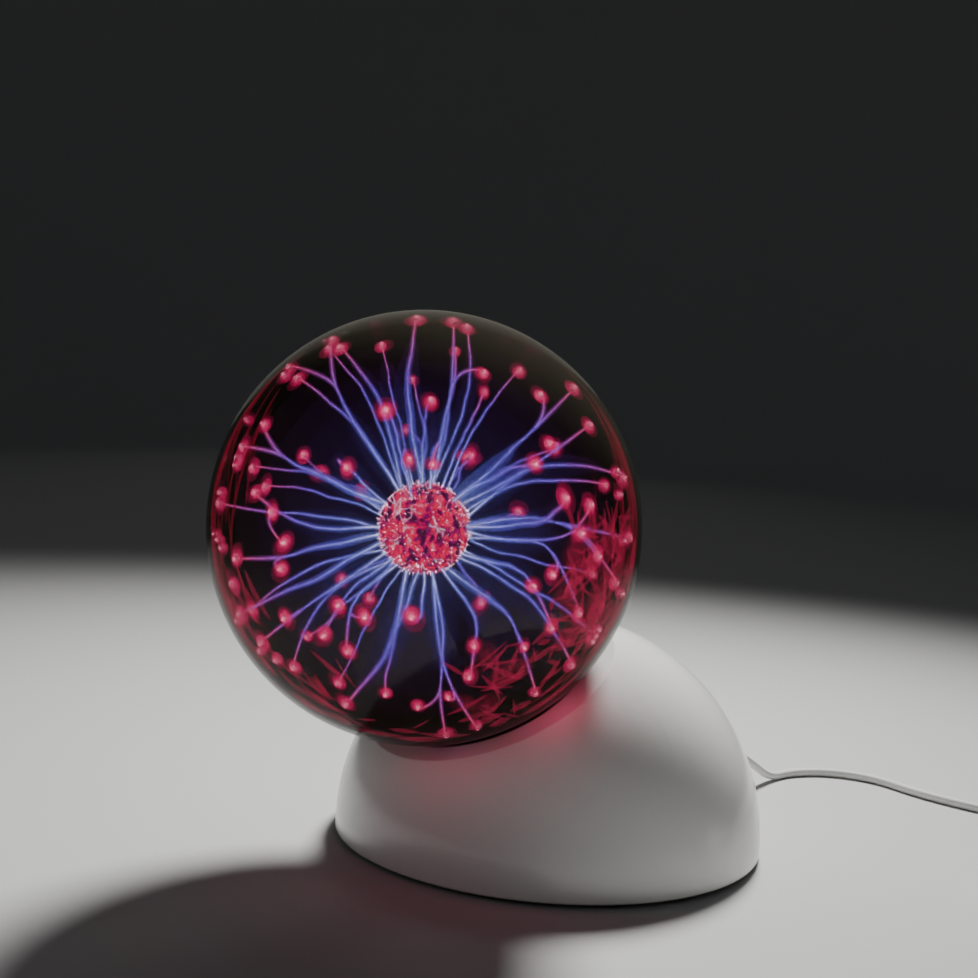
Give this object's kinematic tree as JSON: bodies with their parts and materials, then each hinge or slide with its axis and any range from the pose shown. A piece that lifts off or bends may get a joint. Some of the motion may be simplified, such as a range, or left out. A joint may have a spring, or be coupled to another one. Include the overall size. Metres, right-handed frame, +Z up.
{
  "type": "plasma ball",
  "caption": "Plasma ball: a clear glass globe with an inner electrode bulb, leaning forward on a glossy white domed base with a slide switch, jack and power lead.",
  "frame": {"origin": "on the table, under the middle of the box round the globe and base, the lead left out", "axes": "+Z up; the globe leans towards -Y and the switch and jack face +Y; the object is symmetrical left to right about X = 0 apart from its jack and switch"},
  "size_m": [0.2432, 0.3328, 0.1935],
  "materials": {
    "clear_glass": "gloss",
    "inner_glass": "gloss",
    "steel_wool": "matte",
    "graphite": "satin",
    "red_silicone": "satin",
    "black_rubber": "matte",
    "white_shell": "gloss",
    "white_cover": "satin",
    "zinc_steel": "satin",
    "green_board": "satin",
    "ferrite": "matte",
    "bobbin_plastic": "satin",
    "copper_wire": "gloss",
    "winding_tape": "satin",
    "aluminium": "satin",
    "chip_plastic": "matte",
    "can_sleeve": "gloss",
    "film_plastic": "gloss",
    "resistor_paint": "gloss",
    "tin_plate": "satin",
    "jack_plastic": "satin",
    "nickel": "polished",
    "knob_plastic": "satin",
    "white_lead": "satin",
    "adapter_plastic": "satin",
    "tie_rubber": "matte"
  },
  "bodies": {
    "base": {"globe_glass": "clear_glass", "inner_bulb": "inner_glass", "bulb_wool": "steel_wool", "bulb_conductor": "graphite", "glass_tip_off": "inner_glass", "high_voltage_cap": "red_silicone", "neck_sleeve": "black_rubber", "neck_clamp_left": "white_cover", "neck_clamp_right": "white_cover", "neck_clamp_screws": "zinc_steel", "seat_gasket": "black_rubber", "base_dome": "white_shell", "bottom_cover": "white_cover", "foot_front_left": "black_rubber", "foot_front_right": "black_rubber", "foot_back_left": "black_rubber", "foot_back_right": "black_rubber", "cover_screws": "zinc_steel", "driver_board": "green_board", "board_screws": "zinc_steel", "core_lower": "ferrite", "core_upper": "ferrite", "winding_bobbin": "bobbin_plastic", "primary_winding": "copper_wire", "high_voltage_winding": "winding_tape", "heat_sink": "aluminium", "power_transistor": "chip_plastic", "heat_sink_screw": "zinc_steel", "supply_capacitor": "can_sleeve", "filter_capacitor": "can_sleeve", "film_capacitors": "film_plastic", "resistors": "resistor_paint", "driver_chip": "chip_plastic", "choke_core": "ferrite", "choke_winding": "copper_wire", "microphone": "aluminium", "dc_jack": "jack_plastic", "jack_pin": "nickel", "switch_frame": "tin_plate", "switch_terminals": "tin_plate", "hv_lead": "red_silicone"},
    "knob": {"switch_slider": "knob_plastic"},
    "lead": {"plug_body": "white_lead", "plug_barrel": "nickel", "plug_relief": "white_lead", "lead_cord": "white_lead", "lead_coil": "white_lead", "coil_tie": "tie_rubber", "lead_tail": "white_lead", "adapter_shell": "adapter_plastic", "adapter_cover": "adapter_plastic", "adapter_blades": "nickel", "adapter_relief": "white_lead"}
  },
  "joints": [
    {"name": "switch_slide", "type": "slide", "parent": "base", "child": "knob", "axis": [1, 0, 0], "range_m": [-0.004, 0.004]},
    {"name": "lead_unplug", "type": "slide", "parent": "base", "child": "lead", "axis": [0, 1, 0], "range_m": [0, 0.012]}
  ]
}
